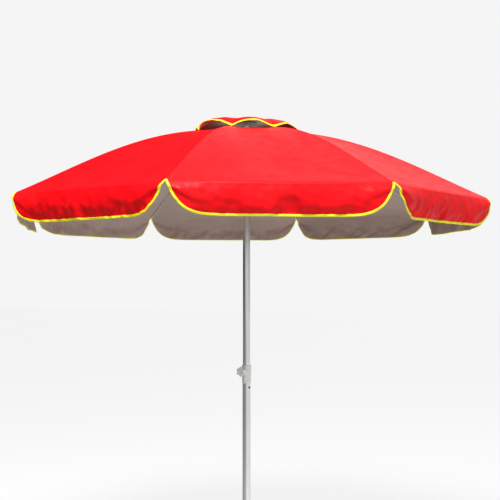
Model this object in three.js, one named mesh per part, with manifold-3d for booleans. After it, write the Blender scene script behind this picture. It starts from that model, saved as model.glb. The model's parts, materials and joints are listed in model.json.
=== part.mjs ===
// A beach umbrella: a two-section tubular pole with a screw clamp, a ribbed folding frame and a vented canopy.
// Millimetres, +Z up. The origin is the point of the sand spike, on the pole's axis.
// Rib 0 points along +X, and the ribs follow each other every 45 degrees. The umbrella is modelled open.
import * as THREE from "three";
import { mergeVertices } from "three/addons/utils/BufferGeometryUtils.js";
import Module from "manifold-3d";

const wasm = await Module();
wasm.setup();

// ---------------------------------------------------------------- driving dimensions
const RIB_COUNT = 8;
const SPAN_RADIUS = 1030; // pole axis to the fabric's corner at a rib tip
const TIP_HEIGHT = 1817; // the canopy's fold line at a rib tip, above the spike's point
const CROWN_RISE = 318.8; // the canopy's crown above its rib tips
const CURVE_POWER = 2.522; // how the ribs bow: crown curve 1 - (1 + b) p^power + b p^4
const CURVE_BEND = 0.713;
const FABRIC = 1.2; // canopy cloth with its seams
const GORE_SAG = 14; // how far the middle of a gore hangs below the line between its ribs
const VENT_HOLE_RADIUS = 120; // the opening at the crown of the main canopy
const VALANCE_DEPTH = 118;
const NOTCH_HALF_WIDTH = 100; // half the gap between two valance flaps at the hem

const VENT_CAP_RADIUS = 235; // the small canopy over the opening
const VENT_CAP_APEX = 2178;
const VENT_CAP_POWER = 4.5; // it is nearly flat in the middle and falls steeply to its rim
const VENT_CAP_LIFT = 26; // how far its rim stands up between the ribs

const RIB_RADIUS = 2.5;
const RIB_DROP = 5.5; // rib centre line under the fabric's underside
const RIB_END_RADIUS = 1018; // where the rod ends, inside its tip cap
const HUB_RING_RADIUS = 24; // the wire ring that the ribs hinge on
const RUNNER_RING_RADIUS = 27; // the wire ring that the stretchers hinge on
const RING_WIRE = 1.25;
const CLIP_AT = 400; // the stretcher clip's distance from the pole axis, umbrella open
const CLIP_PIVOT_DROP = 12; // clip pivot under the rib's centre line
const STRETCHER_LENGTH = 400; // ring to clip pivot
const STRETCHER_OFFSET = 7; // the stretcher runs beside the rib, so that the two can cross
const EYE_RADIUS = 4.2;
const EYE_WIDTH = 4.8;

const LOWER_TUBE = { outer: 17.5, inner: 16.5, bottom: 90.3, top: 1076 };
const UPPER_TUBE = { outer: 16, inner: 15, bottom: 938.4 };
const GAP = 0.4; // clearance between pieces that touch

const COLLAR = { bottom: 1035.5, top: 1114, radius: 20.2, neck: 19.2 };
const CLAMP_HEIGHT = 1088; // axis of the clamp screw
const CLAMP_AZIMUTH = -107.74; // degrees from +X, the side of the pole with the knob
const KNOB = { start: 36.3, end: 50.3, radius: 19.5, lobe: 2.6, lobes: 6 };
const PLUG_AZIMUTH = -29.74;
const PLUG_HEIGHT = 1018;
const COLLAR_SCREW_HEIGHT = 1055;
const CATCH_AZIMUTH = -67.5;
const CATCH_DROP = 34; // the catch button under the open runner's ring

const ROUND = 24; // segments round a tube
const SMALL_ROUND = 10; // segments round a pin, eye or screw
const GORE_ROWS = 8; // rows of cloth between the vent hole and the fold line
const GORE_COLUMNS = 2; // columns of cloth on each side of a rib
const VALANCE_ROWS = 3;
const RIB_STEPS = 10;
const STRETCHER_STEPS = 25;

// ---------------------------------------------------------------- materials
const finish = (color, roughness, metalness = 0) =>
  new THREE.MeshStandardMaterial({ color, roughness, metalness, side: THREE.DoubleSide });

const colours = {
  tube: [0xc2c4c6, 0.35, 0.9],
  steel: [0x9a9da0, 0.4, 0.9],
  whitePlastic: [0xe4e4e0, 0.45],
  taupePlastic: [0x8c7a73, 0.5],
  darkPlastic: [0x26272a, 0.5],
  fibreglass: [0xe9e6da, 0.5],
  redCloth: [0xe5141d, 0.55],
};

// ---------------------------------------------------------------- geometry helpers
const radians = (degrees) => (degrees * Math.PI) / 180;

// Keeps only the positions, merges shared corners, and turns the faces outwards.
function closed(geometry) {
  const bare = geometry.clone();
  bare.deleteAttribute("normal");
  bare.deleteAttribute("uv");
  const merged = mergeVertices(bare, 1e-3);
  const p = merged.getAttribute("position");
  const index = merged.index.array;
  const [a, b, c] = [new THREE.Vector3(), new THREE.Vector3(), new THREE.Vector3()];
  let volume = 0;
  for (let i = 0; i < index.length; i += 3) {
    a.fromBufferAttribute(p, index[i]);
    b.fromBufferAttribute(p, index[i + 1]);
    c.fromBufferAttribute(p, index[i + 2]);
    volume += a.dot(b.cross(c));
  }
  if (volume < 0) {
    for (let i = 0; i < index.length; i += 3) {
      [index[i + 1], index[i + 2]] = [index[i + 2], index[i + 1]];
    }
  }
  return merged;
}

function toSolid(geometry) {
  const g = closed(geometry);
  return new wasm.Manifold(
    new wasm.Mesh({
      numProp: 3,
      vertProperties: new Float32Array(g.getAttribute("position").array),
      triVerts: new Uint32Array(g.index.array),
    }),
  );
}

function toGeometry(solid) {
  const mesh = solid.getMesh();
  const geometry = new THREE.BufferGeometry();
  geometry.setAttribute("position", new THREE.BufferAttribute(mesh.vertProperties, mesh.numProp));
  geometry.setIndex(new THREE.BufferAttribute(mesh.triVerts, 1));
  return geometry;
}

// Joins the first list of geometries into one and cuts the second list out of it.
function carve(joined, cuts = []) {
  let solid = joined.map(toSolid).reduce((whole, piece) => whole.add(piece));
  for (const cut of cuts) solid = solid.subtract(toSolid(cut));
  return toGeometry(solid);
}

// Turns a profile of [radius, height] pairs about the Z axis.
function turned(profile, segments = ROUND) {
  const points = profile.map(([r, z]) => new THREE.Vector2(r, z));
  return closed(new THREE.LatheGeometry(points, segments).rotateX(Math.PI / 2));
}

// A profile that runs round a hollow body comes back to its first point.
function turnedHollow(profile, segments = ROUND) {
  return turned([...profile, profile[0]], segments);
}

// A rod along +X from x0 to x1.
function rodX(x0, x1, radius, segments = SMALL_ROUND) {
  return new THREE.CylinderGeometry(radius, radius, x1 - x0, segments)
    .rotateZ(-Math.PI / 2)
    .translate((x0 + x1) / 2, 0, 0);
}

// A short cylinder across the rib's plane, its axis along Y.
function rodY(x, z, radius, width, y = 0) {
  return new THREE.CylinderGeometry(radius, radius, width, SMALL_ROUND).translate(x, y, z);
}

function boxAt([x0, x1], [y0, y1], [z0, z1]) {
  return new THREE.BoxGeometry(x1 - x0, y1 - y0, z1 - z0).translate(
    (x0 + x1) / 2,
    (y0 + y1) / 2,
    (z0 + z1) / 2,
  );
}

// A section swept along a curve.
function swept(curve, section, steps) {
  return closed(
    new THREE.ExtrudeGeometry(section, { steps, extrudePath: curve, bevelEnabled: false }),
  );
}

function circleSection(radius, sides = 6) {
  const points = [];
  for (let i = 0; i < sides; i++) {
    const a = (2 * Math.PI * i) / sides;
    points.push(new THREE.Vector2(radius * Math.cos(a), radius * Math.sin(a)));
  }
  return new THREE.Shape(points);
}

// A thin closed solid: the given surface, with its faces out, and a copy of it one thickness inside.
function shell(vertices, faces, thickness) {
  const normals = vertices.map(() => new THREE.Vector3());
  for (const face of faces) {
    const [a, b, c] = face.map((i) => vertices[i]);
    const n = b.clone().sub(a).cross(c.clone().sub(a));
    for (const i of face) normals[i].add(n);
  }
  const inner = vertices.map((v, i) => v.clone().addScaledVector(normals[i].normalize(), -thickness));
  const count = vertices.length;
  const triangles = [];
  const edges = new Set(faces.flatMap((f) => f.map((a, i) => `${a},${f[(i + 1) % f.length]}`)));
  for (const face of faces) {
    for (let i = 2; i < face.length; i++) {
      triangles.push(face[0], face[i - 1], face[i]);
      triangles.push(count + face[0], count + face[i], count + face[i - 1]);
    }
    face.forEach((a, i) => {
      const b = face[(i + 1) % face.length];
      if (edges.has(`${b},${a}`)) return;
      triangles.push(b, a, count + a, b, count + a, count + b);
    });
  }
  const geometry = new THREE.BufferGeometry();
  const all = [...vertices, ...inner].flatMap((v) => [v.x, v.y, v.z]);
  geometry.setAttribute("position", new THREE.Float32BufferAttribute(all, 3));
  geometry.setIndex(triangles);
  return closed(geometry);
}

// ---------------------------------------------------------------- shape of the open canopy
const HALF_GORE = Math.PI / RIB_COUNT;

// Height of the cloth's underside over a rib, at a distance r from the pole axis.
function canopyHeight(r) {
  const p = r / SPAN_RADIUS;
  const fall = (1 + CURVE_BEND) * p ** CURVE_POWER - CURVE_BEND * p ** 4;
  return TIP_HEIGHT + CROWN_RISE * (1 - fall);
}

const ribHeight = (r) => canopyHeight(r) - RIB_DROP;

// A point of the cloth for the rib along +X: t runs from 0 at the rib to 1 or -1 at the middle of a gore.
function canopyPoint(r, t) {
  const share = Math.abs(t) * (1 - 0.25 / (r * Math.sin(HALF_GORE)));
  const across = share * r * Math.sin(HALF_GORE);
  const s = (r - VENT_HOLE_RADIUS) / (SPAN_RADIUS - VENT_HOLE_RADIUS);
  const sag = GORE_SAG * Math.sin(Math.PI * s) * share * (2 - share);
  return new THREE.Vector3(
    r - across * Math.sin(HALF_GORE),
    Math.sign(t) * across * Math.cos(HALF_GORE),
    canopyHeight(r) + FABRIC - sag,
  );
}

// Half the gap between two flaps, at a depth under the fold line: narrow at the rib, flaring at the hem.
function notchHalfWidth(depth) {
  const d = depth / VALANCE_DEPTH;
  return NOTCH_HALF_WIDTH * (0.4 * d + 0.6 * d ** 3);
}

// ---------------------------------------------------------------- the linkage, solved open and folded
const hubHeight = ribHeight(HUB_RING_RADIUS);

class RibCurve extends THREE.Curve {
  getPoint(t, target = new THREE.Vector3()) {
    const r = HUB_RING_RADIUS + t * (RIB_END_RADIUS - HUB_RING_RADIUS);
    return target.set(r, 0, ribHeight(r));
  }
}

const ribCurve = new RibCurve();

const rodPoints = ribCurve.getSpacedPoints(RIB_STEPS); // the corners of the faceted rod

// Height and downward slope of the rod's centre line at a distance r from the pole axis.
function rodAt(r) {
  const i = rodPoints.findIndex((p) => p.x > r);
  const [a, b] = rodPoints.slice(i - 1, i + 1);
  const fall = (a.z - b.z) / (b.x - a.x);
  return { height: a.z - fall * (r - a.x), slope: Math.atan(fall) };
}

const { height: clipHeight, slope: clipSlope } = rodAt(CLIP_AT);
const clipPivot = new THREE.Vector2(
  CLIP_AT - CLIP_PIVOT_DROP * Math.sin(clipSlope),
  clipHeight - CLIP_PIVOT_DROP * Math.cos(clipSlope),
);
const stretcherRun = clipPivot.x - RUNNER_RING_RADIUS;
const stretcherRise = Math.sqrt(STRETCHER_LENGTH ** 2 - stretcherRun ** 2);
const runnerHeight = clipPivot.y - stretcherRise;
const stretcherAngle = Math.atan2(stretcherRise, stretcherRun);
const catchHeight = runnerHeight - CATCH_DROP;

// ---------------------------------------------------------------- lower section
function sandSpike() {
  return turned([
    [0, 0], [5, 0], [9, 30], [13.5, 68], [17.5, 80], [17.5, 90],
    [16.1, 90], [16.1, 138], [14, 142], [0, 142],
  ]);
}

function lowerTube() {
  const { outer, inner, bottom, top } = LOWER_TUBE;
  const wall = turnedHollow([[inner, bottom], [outer, bottom], [outer, top], [inner, top]]);
  const plugHole = rodX(8, 30, 4.3).rotateZ(radians(PLUG_AZIMUTH)).translate(0, 0, PLUG_HEIGHT);
  const screwHole = rodX(8, 30, 1.9)
    .rotateZ(radians(CLAMP_AZIMUTH))
    .translate(0, 0, COLLAR_SCREW_HEIGHT);
  return carve([wall], [plugHole, screwHole]);
}

// A button that closes a hole in the tube's wall.
function holePlug() {
  const stem = rodX(16.4, 18.2, 3.9);
  const head = turned([[0, 17.9], [5, 17.9], [4.6, 18.9], [2.6, 19.5], [0, 19.6]], SMALL_ROUND);
  return carve([stem, head.rotateY(Math.PI / 2)]);
}

// The moulded collar at the top of the lower tube: the clamp's boss, the nut's pocket and a fixing screw's boss.
function collarBody() {
  const { bottom, top, radius, neck } = COLLAR;
  const step = LOWER_TUBE.top + GAP;
  const wide = LOWER_TUBE.outer + 0.35;
  const narrow = UPPER_TUBE.outer + 0.35;
  const sleeve = turned([
    [0, bottom], [neck, bottom], [neck, bottom + 26], [radius, bottom + 32],
    [radius, top - 4], [radius + 0.8, top - 3], [radius + 0.8, top], [0, top],
  ]).translate(0, 0, -CLAMP_HEIGHT);
  const boss = rodX(10, 35, 12.5, ROUND);
  const lug = rodX(10, 25.6, 5.2).translate(0, 0, COLLAR_SCREW_HEIGHT - CLAMP_HEIGHT);
  const bore = turned([
    [0, bottom - 1], [wide, bottom - 1], [wide, step], [narrow, step], [narrow, top + 1], [0, top + 1],
  ]).translate(0, 0, -CLAMP_HEIGHT);
  const screwBore = rodX(8, 40, 4.4);
  const nutPocket = boxAt([23.4, 30.8], [-7, 7], [-8, 20]);
  const fixingBore = rodX(8, 40, 1.9).translate(0, 0, COLLAR_SCREW_HEIGHT - CLAMP_HEIGHT);
  const fixingRecess = rodX(22.6, 40, 3.7).translate(0, 0, COLLAR_SCREW_HEIGHT - CLAMP_HEIGHT);
  return carve([sleeve, boss, lug], [bore, screwBore, nutPocket, fixingBore, fixingRecess]);
}

function clampNut() {
  const acrossCorners = 7.5;
  const hex = new THREE.CylinderGeometry(acrossCorners, acrossCorners, 6.5, 6)
    .rotateZ(-Math.PI / 2)
    .translate(27.1, 0, 0);
  return carve([hex], [rodX(20, 35, 4.25)]);
}

function collarScrew() {
  const head = turned([[0, 23], [3.2, 23], [3, 24.4], [1.6, 25], [0, 25.1]], SMALL_ROUND);
  return carve([rodX(16.5, 23.5, 1.5), head.rotateY(Math.PI / 2)]);
}

// ---------------------------------------------------------------- clamp
function clampScrew() {
  return closed(rodX(UPPER_TUBE.outer + GAP, 45.5, 3.9));
}

// A lobed hand knob with a hub towards the collar, a blind hole for its screw and a round recess in its face.
function clampKnob() {
  const outline = [];
  const steps = KNOB.lobes * 6;
  for (let i = 0; i < steps; i++) {
    const a = (2 * Math.PI * i) / steps;
    const r = KNOB.radius + KNOB.lobe * Math.cos(KNOB.lobes * a);
    outline.push(new THREE.Vector2(r * Math.cos(a), r * Math.sin(a)));
  }
  const rim = 2;
  const grip = new THREE.ExtrudeGeometry(new THREE.Shape(outline), {
    depth: KNOB.end - KNOB.start - 3 - 2 * rim,
    bevelEnabled: true,
    bevelThickness: rim,
    bevelSize: rim,
    bevelOffset: -rim,
    bevelSegments: 1,
  })
    .translate(0, 0, KNOB.start + 3 + rim)
    .rotateY(Math.PI / 2);
  const hub = rodX(KNOB.start, KNOB.start + 5, 9, 24);
  const recess = rodX(KNOB.end - 2.5, KNOB.end + 5, 8, 24);
  return carve([grip, hub], [rodX(KNOB.start - 5, 46, 4.3), recess]);
}

// ---------------------------------------------------------------- upper section
function upperTubePlug() {
  const { bottom } = UPPER_TUBE;
  return turned([
    [0, bottom - 5.4], [14.2, bottom - 5.4], [15.9, bottom - 4], [15.9, bottom - GAP],
    [14.6, bottom - GAP], [14.6, bottom + 24], [13, bottom + 26], [0, bottom + 26],
  ]);
}

function upperTube() {
  const { outer, inner, bottom } = UPPER_TUBE;
  const top = hubHeight + 2;
  const wall = turnedHollow([[inner, bottom], [outer, bottom], [outer, top], [inner, top]]);
  const catchHole = rodX(8, 25, 3.4).rotateZ(radians(CATCH_AZIMUTH)).translate(0, 0, catchHeight);
  return carve([wall], [catchHole]);
}

// The slots that ribs or stretchers turn in, one for each, from an inner radius outwards.
function slots(inner, outer, bottom, top, width) {
  return Array.from({ length: RIB_COUNT }, (_, k) =>
    boxAt([inner, outer], [-width / 2, width / 2], [bottom, top]).rotateZ(2 * HALF_GORE * k),
  );
}

// The notched crown that sits on the tube: a groove for the wire ring, a slot for each rib and a post on top.
function topHub() {
  const groove = RING_WIRE + GAP;
  const body = turned([
    [0, 2.6], [16.4, 2.6], [16.4, -22], [20.5, -22], [20.5, -8], [31, -8], [31, -groove],
    [HUB_RING_RADIUS - groove, -groove], [HUB_RING_RADIUS - groove, groove], [31, groove],
    [31, 7.5], [25, 12], [9, 14], [9, 38], [0, 38],
  ]);
  const inner = HUB_RING_RADIUS - EYE_RADIUS - 0.7;
  const cut = carve([body], slots(inner, 40, -9, 5.4, EYE_WIDTH + 1.2));
  return cut.translate(0, 0, hubHeight);
}

function wireRing(radius, height) {
  return closed(new THREE.TorusGeometry(radius, RING_WIRE, 4, 32)).translate(0, 0, height);
}

// The round plate on the hub's post that carries the middle of the vent cap.
function crownCap() {
  const foot = hubHeight + 38 + GAP;
  const top = VENT_CAP_APEX - FABRIC - 1.2;
  return turned([
    [0, foot], [12, foot], [12, foot + 1.5], [46, top - 3.5], [46, top - 1.5], [34, top], [0, top],
  ]);
}

// A point of the vent cap: its rim rests on the ribs and stands up in a wave between them.
function ventCapPoint(r, angle) {
  const share = r / VENT_CAP_RADIUS;
  const wave = Math.sin((RIB_COUNT / 2) * angle) ** 2;
  const rest = canopyHeight(VENT_CAP_RADIUS) + 2 * FABRIC + 1.2;
  const fall = (VENT_CAP_APEX - rest) * share ** VENT_CAP_POWER;
  const flat = 1 - (1 - Math.cos(HALF_GORE)) * wave;
  return new THREE.Vector3(
    r * flat * Math.cos(angle),
    r * flat * Math.sin(angle),
    VENT_CAP_APEX - fall + VENT_CAP_LIFT * wave * share ** 3,
  );
}

function ventCap() {
  const around = RIB_COUNT * 4;
  const rows = 4;
  const vertices = [ventCapPoint(0, 0)];
  const faces = [];
  const at = (row, i) => 1 + (row - 1) * around + (i % around);
  for (let row = 1; row <= rows; row++) {
    for (let i = 0; i < around; i++) {
      vertices.push(ventCapPoint((VENT_CAP_RADIUS * row) / rows, (2 * Math.PI * i) / around));
      if (row === 1) faces.push([0, at(1, i), at(1, i + 1)]);
      else faces.push([at(row - 1, i), at(row, i), at(row, i + 1), at(row - 1, i + 1)]);
    }
  }
  return shell(vertices, faces, FABRIC);
}

// The hairpin spring inside the tube that pushes the catch button out.
function catchSpring() {
  const line = [[11.3, 7], [11.3, -22], [8.5, -48], [0, -60], [-8.5, -48], [-13.6, -22], [-13.6, 7]];
  const curve = new THREE.CatmullRomCurve3(line.map(([x, z]) => new THREE.Vector3(x, 0, z)));
  const strip = new THREE.Shape([
    new THREE.Vector2(-3.2, -0.35), new THREE.Vector2(3.2, -0.35),
    new THREE.Vector2(3.2, 0.35), new THREE.Vector2(-3.2, 0.35),
  ]);
  return swept(curve, strip, 14);
}

function catchButton() {
  return turned(
    [[0, 12], [4.1, 12], [4.1, 14.2], [3, 14.6], [3, 18.6], [2.2, 19.7], [0, 20.2]],
    SMALL_ROUND,
  ).rotateY(Math.PI / 2);
}

// ---------------------------------------------------------------- runner
// The sleeve that slides on the upper tube: a flange with the stretchers' slots, and a keyway that clears the catch.
function runnerBody() {
  const groove = RING_WIRE + GAP;
  const body = turned([
    [0, -26], [22, -26], [22, -23], [20.6, -21], [20.6, -9], [34, -8], [34, -groove],
    [RUNNER_RING_RADIUS - groove, -groove], [RUNNER_RING_RADIUS - groove, groove], [34, groove],
    [34, 8], [21, 9], [21, 14], [0, 14],
  ]);
  const inner = RUNNER_RING_RADIUS - EYE_RADIUS - 0.7;
  const bore = turned([[0, -30], [16.5, -30], [16.5, 20], [0, 20]]);
  const keyway = boxAt([10, 21.2], [-3.7, 3.7], [-30, 20]).rotateZ(radians(CATCH_AZIMUTH));
  const cut = carve([body], [bore, keyway, ...slots(inner, 40, -5.4, 9, EYE_WIDTH + 1.2)]);
  return cut.translate(0, 0, runnerHeight);
}

// ---------------------------------------------------------------- one rib, its fittings and its cloth
function rib() {
  const rod = swept(ribCurve, circleSection(RIB_RADIUS), RIB_STEPS);
  const eye = rodY(HUB_RING_RADIUS, hubHeight, EYE_RADIUS, EYE_WIDTH);
  const hole = rodY(HUB_RING_RADIUS, hubHeight, RING_WIRE + GAP, EYE_WIDTH + 8);
  return carve([rod, eye], [hole]);
}

// A sleeve on the rib with one ear below it, which the stretcher's end lies beside.
function ribClip() {
  const sleeve = boxAt([-8, 8], [-4, 4], [-4.4, 3.5]);
  const ear = boxAt([-4.6, 4.6], [-2.4, 2.4], [-CLIP_PIVOT_DROP, -4]);
  const end = rodY(0, -CLIP_PIVOT_DROP, 4.6, 4.8);
  const ribBore = rodX(-20, 20, RIB_RADIUS + 0.5);
  const pivotHole = rodY(0, -CLIP_PIVOT_DROP, 1.7, 20);
  return carve([sleeve, ear, end], [ribBore, pivotHole])
    .rotateY(clipSlope)
    .translate(CLIP_AT, 0, clipHeight);
}

// The cap on the rib's end, lined up with the rod's last stretch.
function ribTip() {
  const end = rodPoints.at(-1);
  const socket = RIB_RADIUS + 0.4;
  const cap = turned(
    [[0, 0.4], [socket, 0.4], [socket, -18], [3.8, -18], [3.8, 1], [2.6, 3.4], [0, 4]],
    SMALL_ROUND,
  ).rotateY(Math.PI / 2);
  return cap.rotateY(rodAt(end.x - 1).slope).translate(end.x, 0, end.z);
}

// The strut from the runner's ring to the clip: it leaves the ring in the rib's plane and then runs beside it.
function stretcher() {
  const line = [[0, 0], [16, 0], [30, 2.2], [44, 6], [60, STRETCHER_OFFSET]];
  const outer = [STRETCHER_LENGTH, STRETCHER_OFFSET];
  const curve = new THREE.CatmullRomCurve3(
    [...line, [220, STRETCHER_OFFSET], outer].map(([x, y]) => new THREE.Vector3(x, y, 0)),
    false,
    "centripetal",
  );
  const rod = swept(curve, circleSection(2.3), STRETCHER_STEPS);
  const innerEye = rodY(0, 0, EYE_RADIUS, EYE_WIDTH);
  const outerEye = rodY(STRETCHER_LENGTH, 0, EYE_RADIUS, 4, STRETCHER_OFFSET);
  const innerHole = rodY(0, 0, RING_WIRE + GAP, 20);
  const outerHole = rodY(STRETCHER_LENGTH, 0, 1.7, 20, STRETCHER_OFFSET);
  return carve([rod, innerEye, outerEye], [innerHole, outerHole])
    .rotateY(-stretcherAngle)
    .translate(RUNNER_RING_RADIUS, 0, runnerHeight);
}

// The cloth that one rib carries: half a gore on each side, with half a valance flap under each.
function canopySector() {
  const vertices = [];
  const faces = [];
  const width = 2 * GORE_COLUMNS + 1;
  for (let i = 0; i <= GORE_ROWS; i++) {
    const r = VENT_HOLE_RADIUS + ((SPAN_RADIUS - VENT_HOLE_RADIUS) * i) / GORE_ROWS;
    for (let j = 0; j < width; j++) vertices.push(canopyPoint(r, j / GORE_COLUMNS - 1));
  }
  for (let i = 0; i < GORE_ROWS; i++) {
    for (let j = 0; j + 1 < width; j++) {
      const a = i * width + j;
      faces.push([a, a + width, a + width + 1, a + 1]);
    }
  }
  const halfChord = SPAN_RADIUS * Math.sin(HALF_GORE);
  for (const side of [-1, 1]) {
    let above = Array.from({ length: GORE_COLUMNS + 1 }, (_, c) => {
      return GORE_ROWS * width + GORE_COLUMNS + side * c;
    });
    for (let d = 1; d <= VALANCE_ROWS; d++) {
      const depth = (VALANCE_DEPTH * d) / VALANCE_ROWS;
      const notch = notchHalfWidth(depth) / halfChord;
      const row = above.map((_, c) => {
        const t = notch + (1 - notch) * (c / GORE_COLUMNS);
        const point = canopyPoint(SPAN_RADIUS, side * t);
        point.z -= depth;
        return vertices.push(point) - 1;
      });
      for (let c = 0; c < GORE_COLUMNS; c++) {
        const quad = [above[c], row[c], row[c + 1], above[c + 1]];
        faces.push(side > 0 ? quad : quad.reverse());
      }
      above = row;
    }
  }
  return shell(vertices, faces, FABRIC);
}

// ---------------------------------------------------------------- assembly
const umbrella = new THREE.Group();
umbrella.name = "beach_umbrella";

function section(name) {
  const group = new THREE.Group();
  group.name = name;
  umbrella.add(group);
  return group;
}

function add(parent, name, geometry, colour) {
  const mesh = new THREE.Mesh(geometry, finish(...colours[colour]));
  mesh.name = name;
  parent.add(mesh);
  return mesh;
}

// Turns a piece made along +X to an azimuth, and lifts it.
function aim(mesh, azimuth, height = 0) {
  mesh.rotation.z = radians(azimuth);
  mesh.position.z = height;
}

const lower = section("lower_section");
add(lower, "sand_spike", sandSpike(), "whitePlastic");
add(lower, "lower_tube", lowerTube(), "tube");
aim(add(lower, "hole_plug", holePlug(), "darkPlastic"), PLUG_AZIMUTH, PLUG_HEIGHT);
aim(add(lower, "collar_body", collarBody(), "whitePlastic"), CLAMP_AZIMUTH, CLAMP_HEIGHT);
aim(add(lower, "clamp_nut", clampNut(), "steel"), CLAMP_AZIMUTH, CLAMP_HEIGHT);
aim(add(lower, "collar_screw", collarScrew(), "steel"), CLAMP_AZIMUTH, COLLAR_SCREW_HEIGHT);

const clamp = section("clamp");
aim(add(clamp, "clamp_screw", clampScrew(), "steel"), CLAMP_AZIMUTH, CLAMP_HEIGHT);
aim(add(clamp, "clamp_knob", clampKnob(), "whitePlastic"), CLAMP_AZIMUTH, CLAMP_HEIGHT);

const upper = section("upper_section");
add(upper, "upper_tube_plug", upperTubePlug(), "darkPlastic");
add(upper, "upper_tube", upperTube(), "tube");
add(upper, "top_hub", topHub(), "whitePlastic");
add(upper, "hub_ring", wireRing(HUB_RING_RADIUS, hubHeight), "steel");
add(upper, "crown_cap", crownCap(), "taupePlastic");
add(upper, "vent_cap", ventCap(), "redCloth");
aim(add(upper, "catch_spring", catchSpring(), "steel"), CATCH_AZIMUTH, catchHeight);
aim(add(upper, "catch_button", catchButton(), "steel"), CATCH_AZIMUTH, catchHeight);

const runner = section("runner");
add(runner, "runner_body", runnerBody(), "whitePlastic");
add(runner, "runner_ring", wireRing(RUNNER_RING_RADIUS, runnerHeight), "steel");

const shapes = [
  ["rib", rib(), "fibreglass"],
  ["rib_clip", ribClip(), "whitePlastic"],
  ["rib_tip", ribTip(), "whitePlastic"],
  ["stretcher", stretcher(), "steel"],
  ["canopy_sector", canopySector(), "redCloth"],
];
for (let k = 0; k < RIB_COUNT; k++) {
  const arm = section(`arm_${k + 1}`);
  arm.rotation.z = 2 * HALF_GORE * k;
  for (const [name, geometry, colour] of shapes) add(arm, `${name}_${k + 1}`, geometry, colour);
}

export default umbrella;
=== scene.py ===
"""A vented beach umbrella: cloth, bindings, ribs, clamp and pole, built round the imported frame.

Metres, +Z up. Rib k stands at an azimuth of 45 * (k - 1) degrees from +X, and gore k lies between
rib k and rib k + 1.
"""
import json
import math

import bmesh
import bpy
import numpy as np
from mathutils import Matrix, Vector


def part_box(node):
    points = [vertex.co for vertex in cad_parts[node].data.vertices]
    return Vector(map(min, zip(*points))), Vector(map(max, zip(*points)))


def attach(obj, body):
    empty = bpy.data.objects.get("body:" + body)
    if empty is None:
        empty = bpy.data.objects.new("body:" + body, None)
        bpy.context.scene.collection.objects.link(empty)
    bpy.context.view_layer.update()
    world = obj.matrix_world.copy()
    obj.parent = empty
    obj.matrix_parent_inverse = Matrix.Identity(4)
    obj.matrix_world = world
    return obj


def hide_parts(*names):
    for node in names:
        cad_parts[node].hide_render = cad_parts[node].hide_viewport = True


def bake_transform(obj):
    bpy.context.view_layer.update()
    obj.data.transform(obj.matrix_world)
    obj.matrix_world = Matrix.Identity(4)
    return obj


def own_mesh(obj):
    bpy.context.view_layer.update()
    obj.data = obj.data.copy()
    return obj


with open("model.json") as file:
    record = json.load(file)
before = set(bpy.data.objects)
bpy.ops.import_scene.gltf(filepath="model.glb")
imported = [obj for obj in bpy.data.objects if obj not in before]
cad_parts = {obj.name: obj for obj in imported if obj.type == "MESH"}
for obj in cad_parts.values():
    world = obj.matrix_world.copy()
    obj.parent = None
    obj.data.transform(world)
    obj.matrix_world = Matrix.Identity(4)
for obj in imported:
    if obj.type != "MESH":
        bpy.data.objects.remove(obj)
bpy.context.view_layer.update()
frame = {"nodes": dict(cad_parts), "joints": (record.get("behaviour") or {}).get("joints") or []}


def low(node):
    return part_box(node)[0]


def high(node):
    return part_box(node)[1]


def mid_height(node):
    return (low(node).z + high(node).z) / 2


def joint(name):
    return next(j for j in frame["joints"] if j["name"] == name)


def azimuth_of(direction):
    return math.atan2(direction[1], direction[0])


def in_mm(profile):
    return [(p[0] * MM, p[1] * MM, *p[2:]) for p in profile]


def around(count):
    return np.linspace(0, 2 * math.pi, count, endpoint=False)


def distances_along(line):
    """How far along a line of points each one lies."""
    return np.concatenate([[0], np.cumsum(np.linalg.norm(np.diff(line, axis=0), axis=1))])


# -------- places and sizes
RIBS = 8
GORE = 2 * math.pi / RIBS
HALF = GORE / 2
MM = 0.001

VALANCE = 0.118
CAD_CLOTH = 0.0012  # the cloth's thickness in the frame
CLOTH = 0.0009
# how far the flaps stand out at their hem, beside a rib and midway
FLARE_END, FLARE_MIDDLE = 0.032, 0.016
FLARES = (0.35, 0.5, 0.5, 0.5, 0.1, 1.0, 1.0, 1.0)  # each gore's share of that
HEM_TURN = 0.022  # how far a hem turns back in
SAG = 0.014  # how far the middle of a gore hangs below the line between its ribs
BOW_POWER, BOW_BEND = 2.522, 0.713  # the ribs' curve
SPAN = high("canopy_sector_1").x  # the pole's axis to the fold at a rib's tip
VENT = low("canopy_sector_1").x / math.cos(HALF) ** 2  # radius of the opening at the crown
TIP = low("canopy_sector_1").z + VALANCE - CAD_CLOTH  # the cloth's underside at a rib's tip
CHORD = SPAN * math.sin(HALF)  # half the width of a gore at the fold
NOTCH_WIDTH, NOTCH_CORNER = 0.040, 0.160  # how fast a flap reaches its full depth beside a rib


def bow(r):
    p = r / SPAN
    return 1 - ((1 + BOW_BEND) * p**BOW_POWER - BOW_BEND * p**4)


RISE = (high("canopy_sector_1").z - CAD_CLOTH - TIP) / bow(VENT)


def crown(r):
    """Height of the cloth's underside over a rib."""
    return TIP + RISE * bow(r)


CAP_RADIUS = high("vent_cap").x
CAP_APEX = high("vent_cap").z
CAP_POWER = 4.5  # the small canopy is nearly flat in the middle and falls steeply to its rim
CAP_REST = crown(CAP_RADIUS) + 3 * CAD_CLOTH

HUB = Vector(joint("rib_hinge_1")["pos_m"])
RUNNER = Vector(joint("stretcher_hinge_1")["pos_m"])
RIB_DROP = crown(HUB.x) - HUB.z  # the rib's centre line under the cloth
RIB_RADIUS = 0.0025
RIB_END = high("rib_tip_1").x - 0.0035
CLAMP_AXIS = Vector(joint("knob_turn")["axis"])
CLAMP_HEIGHT = joint("knob_turn")["pos_m"][2]
CATCH_AXIS = Vector(joint("catch_press")["axis"])
LOWER_RADIUS, UPPER_RADIUS, WALL = 0.0175, 0.016, 0.001

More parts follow.
